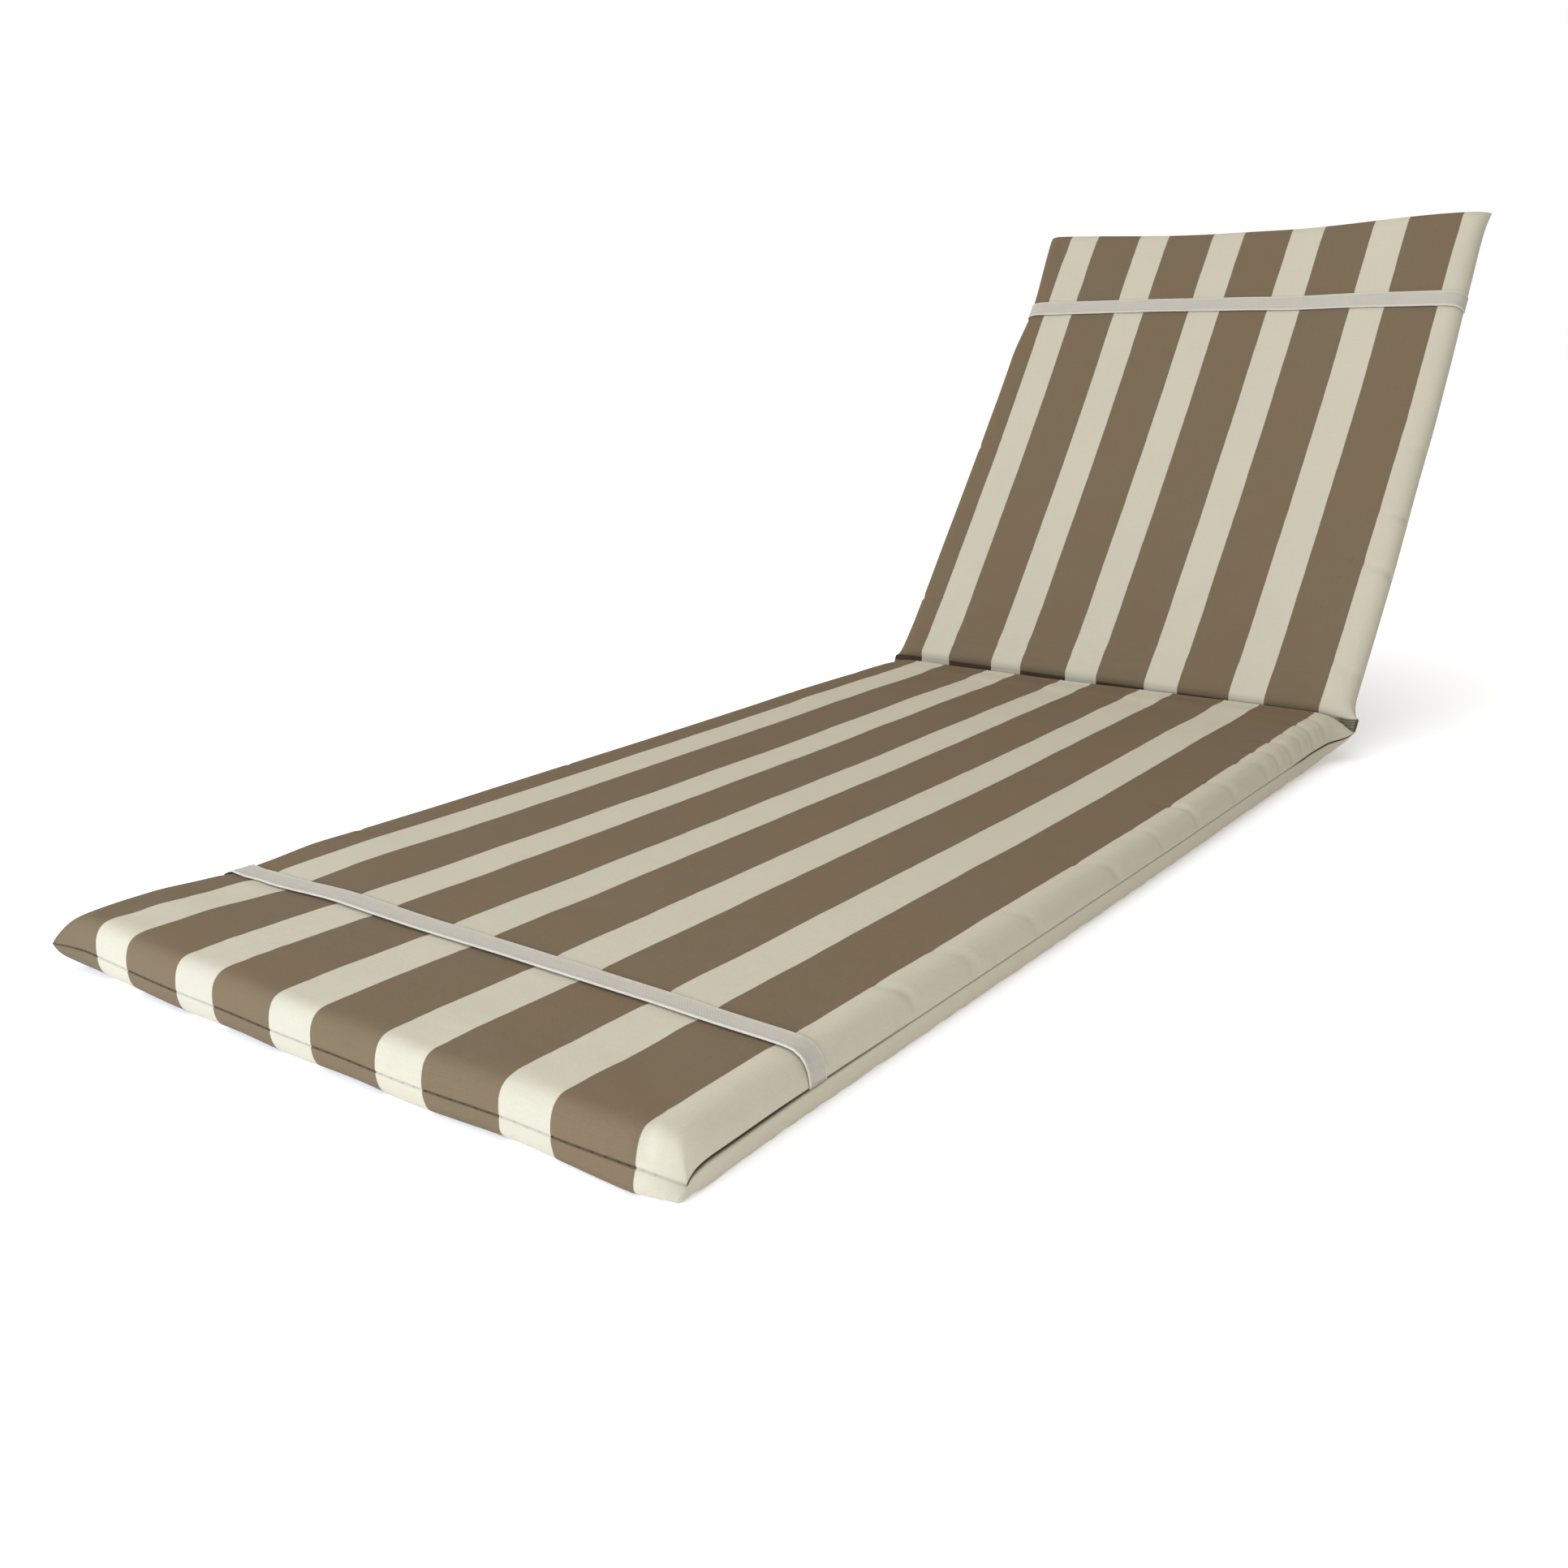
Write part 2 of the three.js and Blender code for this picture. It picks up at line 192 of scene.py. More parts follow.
def smooth(start, end, value):
    share = min(1, max(0, (value - start) / (end - start)))
    return share * share * (3 - 2 * share)


def read_table(rows, by, column, place):
    """Value of a named column at a place, read along a table sorted by another column."""
    if place <= rows[0][by]:
        return rows[0][column]
    for low, high in zip(rows, rows[1:]):
        if place <= high[by]:
            return mix(low[column], high[column], smooth(low[by], high[by], place))
    return rows[-1][column]


def sum_of_swells(rows, across, along):
    height = 0
    for row in rows:
        from_middle = (across - row["at"][0]) / row["size"][0]
        from_line = (along - row["at"][1]) / row["size"][1]
        away = min(1, hypot(from_middle, from_line))
        height += row["height"] * (1 - away**2) ** 2
    return height


def rise(profile, distance):
    """Share of the full height that the cover has at a distance in from its seam."""
    reach, square = profile
    left = 1 - min(1, max(0, distance / reach))
    return (1 - left**square) ** (1 / square)


def distance_at(profile, share):
    """Distance in from the seam where the cover has a share of its full height."""
    reach, square = profile
    return reach * (1 - (1 - share**square) ** (1 / square))


def hinge_point(column, step):
    """Point on the smooth curve through one column of the hinge's section, step rows along it."""
    points = [Vector((0, *row[column])) for row in HINGE_SECTION]
    index = min(int(step), len(points) - 2)
    share = step - index
    start, end = points[index], points[index + 1]
    before = points[index - 1] if index > 0 else 2 * start - end
    after = points[index + 2] if index + 2 < len(points) else 2 * end - start
    gaps = [(b - a).length ** 0.5 for a, b in ((before, start), (start, end), (end, after))]
    into = (start - before) / gaps[0] - (end - before) / (gaps[0] + gaps[1]) + (end - start) / gaps[1]
    out = (end - start) / gaps[1] - (after - start) / (gaps[1] + gaps[2]) + (after - end) / gaps[2]
    into *= gaps[1]
    out *= gaps[1]
    cubic = 2 * start - 2 * end + into + out
    square = 3 * (end - start) - 2 * into - out
    return start + into * share + square * share**2 + cubic * share**3


def section(along):
    """Face, underside and seam height of the plain pads, all at one place along the cushion."""
    if along < HINGE_FROM:
        seam = mix(SEAM_AT_FOOT, SEAM_AT_HINGE, smooth(-SEAT_LENGTH, HINGE_FROM, along))
        return Vector((0, along, THICKNESS)), Vector((0, along, 0)), seam
    if along > HINGE_TO:
        swell = 1.5 * (1 - smooth(HINGE_TO, 2 * HINGE_TO, along))
        face = Vector((0, *on_back(along, swell)))
        under = Vector((0, *on_back(along, -THICKNESS)))
        return face, under, HINGE_SECTION[-1]["seam"]
    high = next(i for i, row in enumerate(HINGE_SECTION) if row["along"] >= along)
    start, end = HINGE_SECTION[high - 1], HINGE_SECTION[high]
    share = (along - start["along"]) / (end["along"] - start["along"])
    step = high - 1 + share
    return hinge_point("face", step), hinge_point("under", step), mix(start["seam"], end["seam"], share)


def undercuts(along):
    """How the underside rounds in from the side seam and from the end seam."""
    if along > 0:
        return BACK_UNDERCUT, BACK_UNDERCUT
    reach = mix(SEAT_UNDERCUT_AT_FOOT, SEAT_UNDERCUT_AT_HINGE, smooth(-SEAT_LENGTH, 0, along))
    return (reach, 2), END_UNDERCUT


def cover_points(across, along):
    """The points of the face and of the underside at a place. On the seam they are the same."""
    side = 1 if across > 0 else -1
    to_side = WIDTH / 2 - abs(across)
    to_foot = along + SEAT_LENGTH
    to_head = BACK_LENGTH - along
    to_end = min(to_foot, to_head)
    side_reach = read_table(SIDE_EDGE, "along", "right" if side > 0 else "left", along)
    x = across + side * side_reach * (1 - smooth(0, EDGE_FADE, to_side))
    place = along
    place -= read_table(FOOT_EDGE, "across", "reach", across) * (1 - smooth(0, EDGE_FADE, to_foot))
    place += read_table(HEAD_EDGE, "across", "reach", across) * (1 - smooth(0, EDGE_FADE, to_head))

    side_rise = rise(SHOULDER, to_side)
    end_rise = rise(END_SHOULDER, to_end)
    side_undercut, end_undercut = undercuts(along)
    face_share = side_rise * end_rise
    under_share = rise(side_undercut, to_side) * rise(end_undercut, to_end)
    drop = 0
    sink = 0
    before_pads = 1 - smooth(WEB_HALF, WEB_FADE, abs(along))
    for corner in CORNERS:
        web = WEB_HALF if corner["along"] == 0 else 0
        past = max(0, abs(along - corner["along"]) - web)
        away = hypot(across - corner["side"] * WIDTH / 2, past)
        near = max(0, 1 - away / corner["reach"]) ** 2
        x += corner["side"] * corner["out"] * near
        place += corner["on"] * near
        face_share = mix(face_share, min(side_rise, end_rise), corner["boxed"] * near)
        face_share *= 1 - corner["thin"] * near
        under_share *= 1 - corner["thin"] * near
        drop += corner["drop"] * near
        sink += corner["sink"] * near * smooth(0, SINK_IN, to_side) * before_pads

    face, under, seam = section(place)
    edge = under.lerp(face, seam - drop)
    if along < 0:
        before_web = 1 - smooth(SHOULDER_END, -WEB_HALF, along)
        face.z += sum_of_swells(SEAT_SWELLS, across, along) * before_web
        lift = sum_of_swells(SEAT_LIFTS, across, along)
        for point in (edge, face, under):
            point.z = max(0, point.z) + lift
    top = edge.lerp(face, face_share)
    bottom = edge.lerp(under, under_share)
    flare = read_table(FOOT_EDGE, "across", "flare", across)
    bottom.y -= flare * under_share * (1 - smooth(0, FLARE_FADE, to_foot))
    if along > 0:
        bend = sum_of_swells(BACK_BENDS, across, along) * smooth(0, 120, along)
        top += FORWARD * bend
        bottom += FORWARD * bend
    for point in (top, bottom):
        point += OUT_OF_CREASE * sink
        point.x = x
    return top, bottom


# The grid of the cover, close together where it turns over the foam


def even_steps(start, end, longest):
    """Places from start up to but not at end, evenly spaced."""
    count = max(1, round(abs(end - start) / longest))
    return [mix(start, end, step / count) for step in range(count)]


SHOULDER_SHARES = (0, 0.035, 0.08, 0.15, 0.25, 0.38, 0.53, 0.7, 0.86)
SHOULDER_STEPS = [distance_at(SHOULDER, share) for share in SHOULDER_SHARES] + [12, 18, 25]
EDGE_ZONE = 34
COLUMN_STEP = 20
ROW_STEP = 7.5
HINGE_ROWS = (
    {"start": HINGE_FROM, "end": -30, "longest": 7.5},
    {"start": -30, "end": -WEB_HALF, "longest": 3.6},
    {"start": -WEB_HALF, "end": WEB_HALF, "longest": 3.2},
    {"start": WEB_HALF, "end": 30, "longest": 3.6},
    {"start": 30, "end": HINGE_TO, "longest": 7.5},
)


def grid_columns():
    half = WIDTH / 2
    left = [step - half for step in SHOULDER_STEPS]
    middle = even_steps(EDGE_ZONE - half, half - EDGE_ZONE, COLUMN_STEP)
    right = [half - step for step in reversed(SHOULDER_STEPS)]
    return left + middle + [half - EDGE_ZONE] + right


def grid_rows():
    foot = [step - SEAT_LENGTH for step in SHOULDER_STEPS]
    seat = even_steps(EDGE_ZONE - SEAT_LENGTH, HINGE_FROM, ROW_STEP)
    hinge = [place for row in HINGE_ROWS for place in even_steps(row["start"], row["end"], row["longest"])]
    back = even_steps(HINGE_TO, BACK_LENGTH - EDGE_ZONE, ROW_STEP)
    head = [BACK_LENGTH - step for step in reversed(SHOULDER_STEPS)]
    return foot + seat + hinge + back + [BACK_LENGTH - EDGE_ZONE] + head


def points_on(columns, rows):
    return [[cover_points(across, along) for across in columns] for along in rows]


COLUMNS = grid_columns()
ROWS = grid_rows()
COVER_POINTS = points_on(COLUMNS, ROWS)


def frame_shift():
    """From the crease line on the floor to the CAD model's place, which its box gives."""
    points = [point for row in COVER_POINTS for pair in row for point in pair]
    low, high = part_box("cushion")
    middle = (low + high) / 2
    x = (min(point.x for point in points) + max(point.x for point in points)) / 2
    y = (min(point.y for point in points) + max(point.y for point in points)) / 2
    return Vector((middle.x - x * MM, middle.y - y * MM, 0))


SHIFT = frame_shift()


def to_model(point):
    """A point in millimetres from the crease line, to metres in the shared frame."""
    return point * MM + SHIFT


# Cloth lengths along the grid, for a weave that keeps its size round the shoulders


def cloth_lengths(points):
    lengths = [0]
    for start, end in zip(points, points[1:]):
        lengths.append(lengths[-1] + (end - start).length * MM)
    middle = lengths[len(lengths) // 2]
    return [length - middle for length in lengths]


def panel_mesh(columns, rows, points, panel):
    """One panel of the cover as a grid, with its place and its weave kept on it. 0 is the face."""
    bm = bmesh.new()
    uv_layer = bm.loops.layers.uv.new("weave")
    place_layer = bm.verts.layers.float_vector.new("place")
    last_column, last_row = len(columns) - 1, len(rows) - 1
    bmesh.ops.create_grid(bm, x_segments=last_column, y_segments=last_row, size=0.5)
    widths = cloth_lengths([cover_points(across, -600)[panel] for across in columns])
    lengths = cloth_lengths([cover_points(0, along)[panel] for along in rows])
    cells = {}
    for vert in bm.verts:
        cells[vert] = (round((vert.co.x + 0.5) * last_column), round((vert.co.y + 0.5) * last_row))
    for vert, (column, row) in cells.items():
        vert.co = to_model(points[row][column][panel])
        vert[place_layer] = (columns[column], rows[row], panel)
    for face in bm.faces:
        for loop in face.loops:
            column, row = cells[loop.vert]
            loop[uv_layer].uv = (widths[column], lengths[row])
    if panel == 1:
        bmesh.ops.reverse_faces(bm, faces=bm.faces)
    mesh = bpy.data.meshes.new("panel")
    bm.to_mesh(mesh)
    bm.free()
    return mesh


def add_object(name, mesh):
    piece = bpy.data.objects.new(name, mesh)
    bpy.context.scene.collection.objects.link(piece)
    return piece


def cover_mesh(columns, rows, points):
    """Both panels, joined along the seam that runs round the cushion."""
    bm = bmesh.new()
    for panel in (0, 1):
        mesh = panel_mesh(columns, rows, points, panel)
        bm.from_mesh(mesh)
        bpy.data.meshes.remove(mesh)
    rim = [vert for vert in bm.verts if vert.is_boundary]
    bmesh.ops.remove_doubles(bm, verts=rim, dist=0.01 * MM)
    mesh = bpy.data.meshes.new("cover")
    bm.to_mesh(mesh)
    bm.free()
    return mesh


def settle(piece):
    """Replaces a piece's mesh by the one that its modifiers make of it."""
    graph = bpy.context.evaluated_depsgraph_get()
    mesh = bpy.data.meshes.new_from_object(piece.evaluated_get(graph), depsgraph=graph)
    piece.modifiers.clear()
    piece.data = mesh


def subdivide(piece, levels):
    finer = piece.modifiers.new("finer", "SUBSURF")
    finer.levels = levels
    finer.render_levels = levels
    settle(piece)


# The loose cloth. A blank of the cover with even cells goes through the cloth simulation, held at
# the seams and by the foam, and the cover then moves as the blank did.

BLANK_EDGE_STEPS = (0, 1, 5, 12, 20)
BLANK_EDGE = 28
BLANK_STEP = 9
LOOSE_FROM = 45
LOOSE_TO = 120
FRAMES = 20
AVERAGE_STEPS = 7
PRESSURE = 1.2
GATHER = -0.16
GATHER_SPACING = 24
LONGEST_MOVE = 2.2
STILL_BY_WEB = 60


def blank_lines(start, end, stops):
    """Grid lines of the blank between two seams. Each stop is a place where the step may change."""
    first = [start + step for step in BLANK_EDGE_STEPS]
    last = [end - step for step in reversed(BLANK_EDGE_STEPS)]
    inner = [start + BLANK_EDGE, *stops, end - BLANK_EDGE]
    middle = [place for a, b in zip(inner, inner[1:]) for place in even_steps(a, b, BLANK_STEP)]
    return first + middle + [end - BLANK_EDGE] + last


def to_edge(across, along):
    return min(WIDTH / 2 - abs(across), along + SEAT_LENGTH, BACK_LENGTH - along)


def at_end_seam(across, along):
    """Whether the nearest seam is the one at the foot or the head."""
    return WIDTH / 2 - abs(across) > to_edge(across, along) + 0.01


def held(across, along):
    """How firmly the cloth is held at a place: fully at its seams and by the foam far from them."""
    from_seam = to_edge(across, along)
    from_web = abs(along) - WEB_HALF
    if from_seam < 0.5 or from_web < 4:
        return 1
    return smooth(LOOSE_FROM, LOOSE_TO, min(from_seam, from_web + LOOSE_FROM / 2))


def gathered(across, along):
    """How much loose cloth was sewn in at a place: most along the seams."""
    near = 1 - smooth(5, LOOSE_FROM, min(to_edge(across, along), abs(along) - WEB_HALF))
    uneven = noise.noise(Vector((across / GATHER_SPACING, along / GATHER_SPACING, 5.3)))
    return near * smooth(-0.25, 0.35, uneven)


def make_group(piece, name, weight):
    group = piece.vertex_groups.new(name=name)
    places = piece.data.attributes["place"].data
    for index, place in enumerate(places):
        across, along, panel = place.vector
        group.add([index], weight(across, along), "REPLACE")
    return group.name


def add_cloth(blank):
    cloth = blank.modifiers.new("cloth", "CLOTH")
    settings = cloth.settings
    settings.quality = 6
    settings.mass = 0.1
    settings.tension_stiffness = 20
    settings.compression_stiffness = 20
    settings.shear_stiffness = 6
    settings.bending_stiffness = 0.15
    settings.use_pressure = True
    settings.uniform_pressure_force = PRESSURE
    settings.effector_weights.gravity = 0
    settings.vertex_group_mass = make_group(blank, "held", held)
    settings.vertex_group_shrink = make_group(blank, "gathered", gathered)
    settings.shrink_min = 0
    settings.shrink_max = GATHER
    cloth.collision_settings.use_collision = False
    cloth.point_cache.frame_start = 1
    cloth.point_cache.frame_end = FRAMES


def without_swell(columns, rows, moves):
    """The moves less their average along the nearest seam, which leaves the puckers."""
    kept = {}
    for (across, along, panel), move in moves.items():
        row = bisect_right(rows, along + 0.01) - 1
        column = bisect_right(columns, across + 0.01) - 1
        if at_end_seam(across, along):
            beside = columns[max(0, column - AVERAGE_STEPS) : column + AVERAGE_STEPS + 1]
            keys = [(round(other, 2), along, panel) for other in beside]
        else:
            beside = rows[max(0, row - AVERAGE_STEPS) : row + AVERAGE_STEPS + 1]
            keys = [(across, round(other, 2), panel) for other in beside]
        found = [moves[key] for key in keys if key in moves]
        kept[(across, along, panel)] = move - sum(found, Vector()) / len(found)
    return kept


def simulate():
    """How far the loose cloth moves at each place of the blank, in metres, for each panel."""
    columns = blank_lines(-WIDTH / 2, WIDTH / 2, ())
    rows = blank_lines(-SEAT_LENGTH, BACK_LENGTH, (-30, -WEB_HALF, WEB_HALF, 30))
    blank = add_object("blank", cover_mesh(columns, rows, points_on(columns, rows)))
    add_cloth(blank)
    for step in range(1, FRAMES + 1):
        bpy.context.scene.frame_set(step)
    before = [vert.co.copy() for vert in blank.data.vertices]
    places = [tuple(place.vector) for place in blank.data.attributes["place"].data]
    settle(blank)
    moves = {}
    for start, place, vert in zip(before, places, blank.data.vertices):
        moves[(round(place[0], 2), round(place[1], 2), round(place[2]))] = vert.co - start
    bpy.data.objects.remove(blank)
    bpy.context.scene.frame_set(1)
    return columns, rows, without_swell(columns, rows, moves)


SIMULATION = simulate()


def move_at(across, along, panel):
    """The blank's move at a place between its grid lines, never longer than the longest move."""
    if not SIMULATION:
        return Vector()
    columns, rows, moves = SIMULATION
    column = min(max(bisect_right(columns, across) - 1, 0), len(columns) - 2)
    row = min(max(bisect_right(rows, along) - 1, 0), len(rows) - 2)
    right = (across - columns[column]) / (columns[column + 1] - columns[column])
    ahead = (along - rows[row]) / (rows[row + 1] - rows[row])
    total = Vector()
    for i, share_across in ((0, 1 - right), (1, right)):
        for j, share_along in ((0, 1 - ahead), (1, ahead)):
            key = (round(columns[column + i], 2), round(rows[row + j], 2), panel)
            total += moves.get(key, Vector()) * share_across * share_along
    if total.length > 0:
        total *= LONGEST_MOVE * MM * tanh(total.length / (LONGEST_MOVE * MM)) / total.length
    return total * smooth(0, STILL_BY_WEB, abs(along) - WEB_HALF)


# Seam, folds and creases that the photograph shows, worked into the finished cover


# The groove of the side seam: its depth at each side, how wide it is as a share of the thickness,
# and how dark the shade painted into it is. The seams at the two ends are the same all along.
SEAM_GROOVE = [
    {"along": -1136, "left": 1.2, "right": 1.4, "wide": 0.08, "painted_shade": 0.8},
    {"along": -1118, "left": 1.2, "right": 3, "wide": 0.12, "painted_shade": 0.95},
    {"along": -1040, "left": 1.2, "right": 3.0, "wide": 0.12, "painted_shade": 0.95},
    {"along": -960, "left": 1.2, "right": 1.8, "wide": 0.08, "painted_shade": 0.7},
    {"along": -850, "left": 1.2, "right": 1.3, "wide": 0.06, "painted_shade": 0.35},
    {"along": -290, "left": 1.2, "right": 1.3, "wide": 0.06, "painted_shade": 0.25},
    {"along": -150, "left": 1.2, "right": 1.4, "wide": 0.06, "painted_shade": 0.35},
    {"along": -105, "left": 1.2, "right": 2.4, "wide": 0.1, "painted_shade": 0.8},
    {"along": 0, "left": 1.2, "right": 2.8, "wide": 0.12, "painted_shade": 0.9},
    {"along": 120, "left": 1.2, "right": 1.3, "wide": 0.06, "painted_shade": 0.4},
]
END_GROOVE = 1.0
# How dark the shade painted into the groove of the two end seams is
END_GROOVE_PAINTED_SHADE = 0.75

# The web of the hinge: the shade painted along the crease where it is sewn, and the shade painted into the
# notch at its right end
CREASE_FROM = 1
CREASE_TO = 10
NOTCH_FROM = 279
NOTCH_HALF = 10

# Folds of the face: from one place to another, how deep, and how far each side
FOLDS = [
    {"start": (298, -871), "end": (276, -884), "depth": 2.4, "wide": 10},
    {"start": (298, -792), "end": (276, -812), "depth": 1.8, "wide": 11},
    {"start": (297, -700), "end": (278, -716), "depth": 1.8, "wide": 10},
    {"start": (298, -560), "end": (272, -590), "depth": 2.2, "wide": 11},
    {"start": (298, -470), "end": (276, -480), "depth": 1.8, "wide": 10},
    {"start": (298, -392), "end": (262, -404), "depth": 2.6, "wide": 12},
    {"start": (298, -300), "end": (276, -318), "depth": 2.4, "wide": 12},
    {"start": (297, -212), "end": (274, -240), "depth": 3.2, "wide": 12},
    {"start": (297, -176), "end": (272, -196), "depth": 2.8, "wide": 12},
    {"start": (297, -140), "end": (270, -152), "depth": 3.4, "wide": 11},
    {"start": (297, -108), "end": (276, -112), "depth": 3.0, "wide": 9},
    {"start": (297, -76), "end": (272, -70), "depth": 3.4, "wide": 9},
    {"start": (297, -46), "end": (274, -36), "depth": 2.8, "wide": 8},
    {"start": (298, 60), "end": (262, 72), "depth": 2.0, "wide": 12},
    {"start": (298, 190), "end": (240, 206), "depth": 2.8, "wide": 13},
    {"start": (298, 262), "end": (262, 268), "depth": 2.4, "wide": 13},
    {"start": (298, 352), "end": (266, 348), "depth": 1.8, "wide": 13},
    {"start": (-298, 96), "end": (-250, 90), "depth": 1.4, "wide": 9},
    {"start": (-298, 330), "end": (-262, 340), "depth": 1.2, "wide": 9},
    {"start": (-298, -240), "end": (-262, -226), "depth": 1.3, "wide": 9},
    {"start": (-298, -620), "end": (-266, -610), "depth": 1.2, "wide": 9},
    {"start": (-298, -880), "end": (-264, -874), "depth": 1.3, "wide": 8},
    {"start": (-240, 34), "end": (200, 40), "depth": 1.2, "wide": 14},
    {"start": (-120, -1136), "end": (-118, -1122), "depth": 1.4, "wide": 9},
    {"start": (96, -1136), "end": (92, -1120), "depth": 1.6, "wide": 9},
    {"start": (276, -1136), "end": (270, -1112), "depth": 1.8, "wide": 9},
]


# A fold is a hollow with a low ridge at each side, and is shallower towards its end
FOLD_TURN = 2.6
FOLD_FADE = 0.6

# Gathers of the lower panel: how deep, and how far in from the seam
GATHERS_DEEP = 0.8
GATHERS_WIDE = 12

# The foot's right corner is turned softly over the foam
SOFT_CORNER = Vector((WIDTH / 2, -SEAT_LENGTH))
SOFT_CORNER_REACH = 26
SOFTENINGS = 8


def soften_corner(bm, place_layer):
    """Rounds the upright edge of the foot's right corner."""
    near = [v for v in bm.verts if (v[place_layer].xy - SOFT_CORNER).length < SOFT_CORNER_REACH]
    for _ in range(SOFTENINGS):
        bmesh.ops.smooth_vert(bm, verts=near, factor=0.5, use_axis_x=True, use_axis_y=True, use_axis_z=True)


def fold_depth(across, along):
    """How far the folds press the cover in at a place."""
    depth = 0
    here = Vector((across, along))
    for fold in FOLDS:
        start, end = Vector(fold["start"]), Vector(fold["end"])
        line = end - start
        share = min(1, max(0, (here - start).dot(line) / line.length_squared))
        away = (here - start - line * share).length / fold["wide"]
        if away < 1:
            hollow = (1 - away**2) ** 2 * cos(FOLD_TURN * away)
            depth += fold["depth"] * hollow * (1 - FOLD_FADE * share)
    return depth


def under_gathers(across, along):
    """Small slanting gathers of the lower panel beside the side seams, in millimetres."""
    if at_end_seam(across, along):
        return 0
    at = Vector(((along + across) / 12, across / 40, 5.2))
    return GATHERS_DEEP * noise.noise(at) * (1 - smooth(4, GATHERS_WIDE, to_edge(across, along)))


def band_press(across, along):
    """How far the stretched bands press the cover in."""
    depth = 0
    for line, strength in ((FOOT_BAND, 0.7), (HEAD_BAND, 0.5)):
        middle = read_table(line, "across", "along", across)
        depth += strength * (1 - smooth(BAND_WIDTH / 2, BAND_WIDTH / 2 + 9, abs(along - middle)))
    return depth


def seam_groove(across, along):
    """How deep the groove of the seam is at a place, in millimetres."""
    height = rise(SHOULDER, max(0, to_edge(across, along)))
    wide = read_table(SEAM_GROOVE, "along", "wide", along)
    if height > wide:
        return 0
    deep = END_GROOVE
    if not at_end_seam(across, along):
        deep = read_table(SEAM_GROOVE, "along", "right" if across > 0 else "left", along)
    return deep * (1 - height / wide) ** 2


def slow_waves(across, along):
    """Slight unevenness of the foam and the cloth over it."""
    at = Vector((across / 90, along / 70, 3.1))
    small = Vector((across / 34, along / 26, 9.4))
    loose = smooth(0, 30, min(to_edge(across, along), abs(along)))
    return (0.7 * noise.noise(at) + 0.25 * noise.noise(small)) * loose


def seam_painted_shade(across, along):
    """How dark the shade painted into the groove of the side seam is at a place."""
    if at_end_seam(across, along):
        return 0
    height = rise(SHOULDER, max(0, to_edge(across, along)))
    wide = read_table(SEAM_GROOVE, "along", "wide", along)
    painted_shade = read_table(SEAM_GROOVE, "along", "painted_shade", along)
    return painted_shade * (1 - smooth(0.25 * wide, 0.75 * wide, height))


def crease_painted_shade(across, along, panel):
    """How dark the shade painted along the crease of the sewn web is at a place, or into the groove of an
    end seam.
    """
    height = rise(SHOULDER, max(0, to_edge(across, along)))
    painted_groove_shade = END_GROOVE_PAINTED_SHADE * (1 - smooth(0.02, 0.05, height)) if at_end_seam(across, along) else 0
    if panel == 1:
        return painted_groove_shade
    return painted_groove_shade + smooth(0, CREASE_FROM, along) * (1 - smooth(0.8 * CREASE_TO, CREASE_TO, along))


# Painted shade in the notch at the right end of the hinge, where the web lies in shadow
def notch_painted_shade(across, along):
    into = smooth(NOTCH_FROM, NOTCH_FROM + 8, across)
    return into * (1 - smooth(NOTCH_HALF - 2, NOTCH_HALF, abs(along)))


def work_cover(cover):
    """Moves each point of the finished cover: loose cloth, folds, bands and the groove of the seam, and
    keeps where shade is painted on it.
    """
    bm = bmesh.new()
    bm.from_mesh(cover.data)
    place_layer = bm.verts.layers.float_vector["place"]
    painted_shade_layer = bm.verts.layers.float_vector.new("shade")
    soften_corner(bm, place_layer)
    bm.normal_update()
    normals = {vert: vert.normal.copy() for vert in bm.verts}
    for vert in bm.verts:
        across, along, panel = vert[place_layer]
        panel = round(panel)
        inward = seam_groove(across, along)
        if panel == 0:
            inward += fold_depth(across, along) * smooth(0.05, 0.4, rise(SHOULDER, to_edge(across, along)))
            inward += band_press(across, along) * smooth(0, 2, to_edge(across, along))
            inward -= slow_waves(across, along)
        else:
            inward += under_gathers(across, along) * smooth(0, 3, to_edge(across, along))
        vert.co += move_at(across, along, panel)
        vert.co -= normals[vert] * inward * MM
        vert.co.z = max(0, vert.co.z)
        # Where shade is painted: into the side seam's groove, along the crease and the end seams, and into
        # the notch
        painted_crease_shade = crease_painted_shade(across, along, panel)
        vert[painted_shade_layer] = (seam_painted_shade(across, along), painted_crease_shade, notch_painted_shade(across, along))
    bm.to_mesh(cover.data)
    bm.free()


def make_cover():
    cover = add_object("cover", cover_mesh(COLUMNS, ROWS, COVER_POINTS))
    subdivide(cover, 1)
    work_cover(cover)
    cover.data.shade_smooth()
    return cover


# Stitches along the end seams

STITCH_STEP = 4.2
STITCH_SIZE = (2.6, 0.9, 0.9)


def rim_points(cover, along):
    """The points of the cover's end seam, from left to right."""
    places = cover.data.attributes["place"].data
    points = []
    for place, vert in zip(places, cover.data.vertices):
        across, here, panel = place.vector
        if abs(here - along) < 0.001 and abs(across) < WIDTH / 2 - 12:
            points.append((across, vert.co.copy(), vert.normal.copy()))
    return sorted(points, key=lambda point: point[0])


